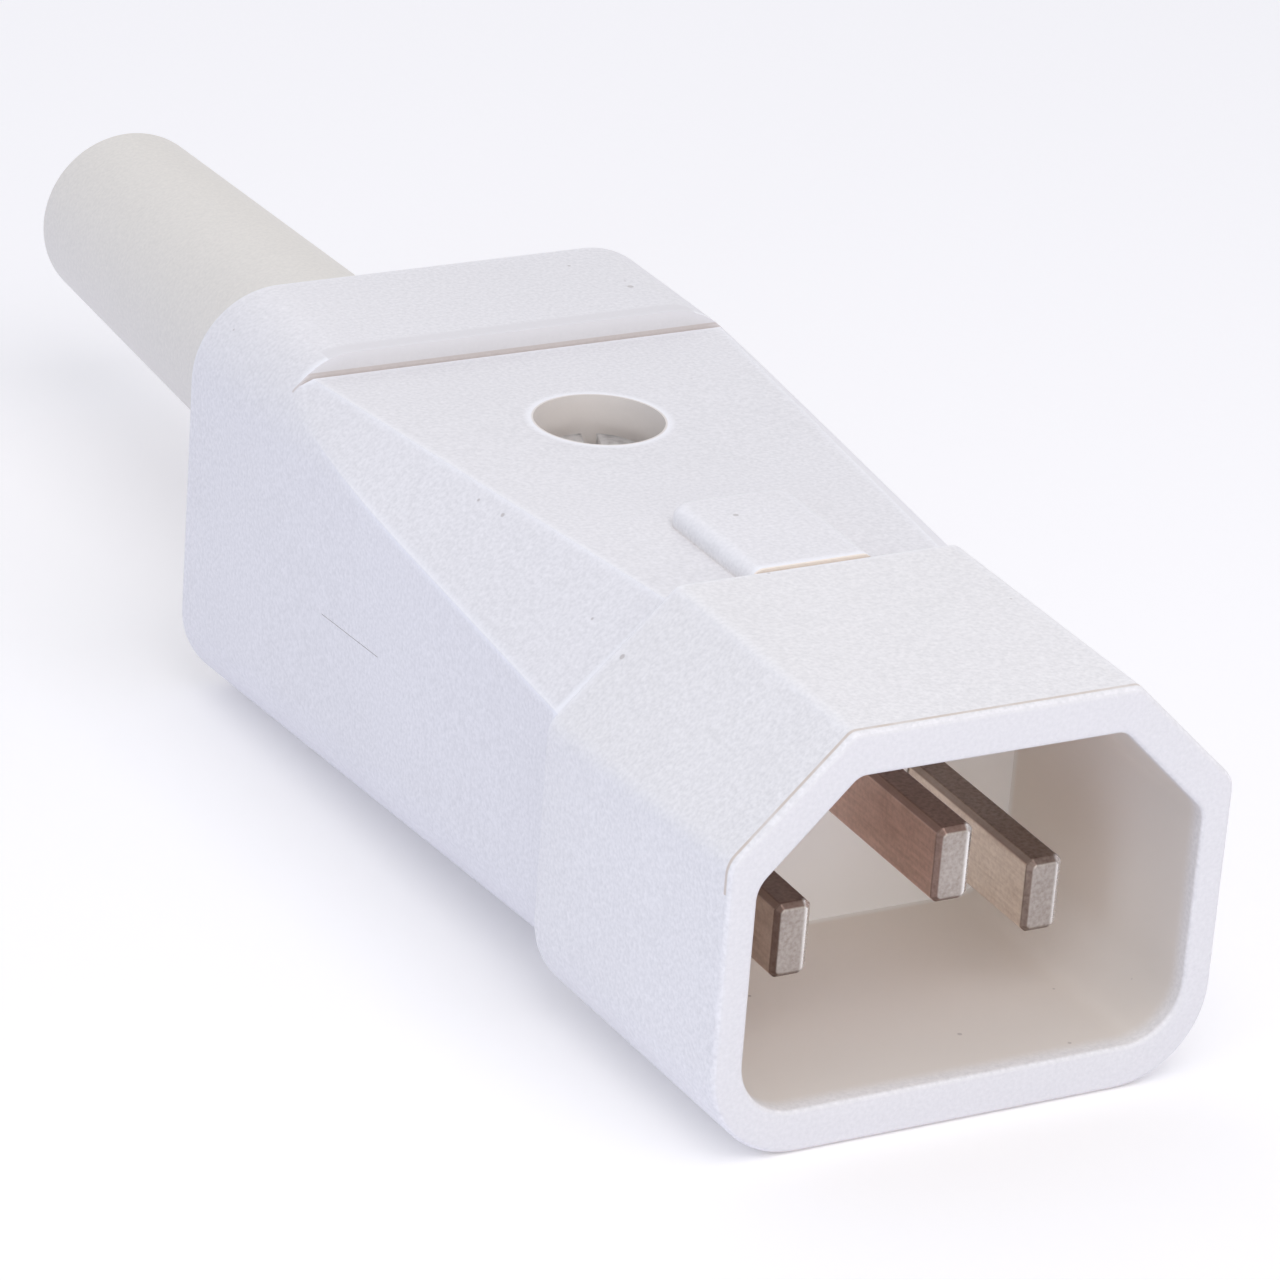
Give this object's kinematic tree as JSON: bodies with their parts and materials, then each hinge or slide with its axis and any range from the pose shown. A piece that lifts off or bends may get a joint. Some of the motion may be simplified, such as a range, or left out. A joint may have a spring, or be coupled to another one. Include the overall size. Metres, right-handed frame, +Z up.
{
  "type": "appliance inlet plug",
  "caption": "Rewireable appliance plug: a shrouded D-shaped front with flat upright blades, a bevelled two-shell body with a screw well, and a soft tapered bend-relief sleeve.",
  "frame": {"origin": "centre of the shroud's rim, on the axis of the coupling", "axes": "-Y out of the mouth of the shroud, +Y back along the plug to the end of the sleeve, +Z up on the bevelled side with the screw, +X to the right seen from the front"},
  "size_m": [0.0288, 0.1029, 0.024],
  "materials": {
    "housing_plastic": "fine grain",
    "sleeve_plastic": "smooth satin",
    "contact_metal": "nickel plated",
    "guard_metal": "rolled",
    "screw_steel": "zinc plated"
  },
  "bodies": {
    "root": {"bend_relief_sleeve": "sleeve_plastic", "contact_carrier": "housing_plastic", "upper_shell": "housing_plastic", "lower_shell": "housing_plastic", "contact_retainer": "housing_plastic", "cord_clamp_bar": "housing_plastic", "line_contact": "contact_metal", "neutral_contact": "contact_metal", "earth_contact": "contact_metal", "line_wire_guard": "guard_metal", "neutral_wire_guard": "guard_metal", "earth_wire_guard": "guard_metal", "line_terminal_screw": "screw_steel", "neutral_terminal_screw": "screw_steel", "earth_terminal_screw": "screw_steel", "housing_screw": "screw_steel", "housing_nut": "screw_steel", "cord_clamp_screw_left": "screw_steel", "cord_clamp_screw_right": "screw_steel", "cord_clamp_nut_left": "screw_steel", "cord_clamp_nut_right": "screw_steel"}
  },
  "joints": []
}
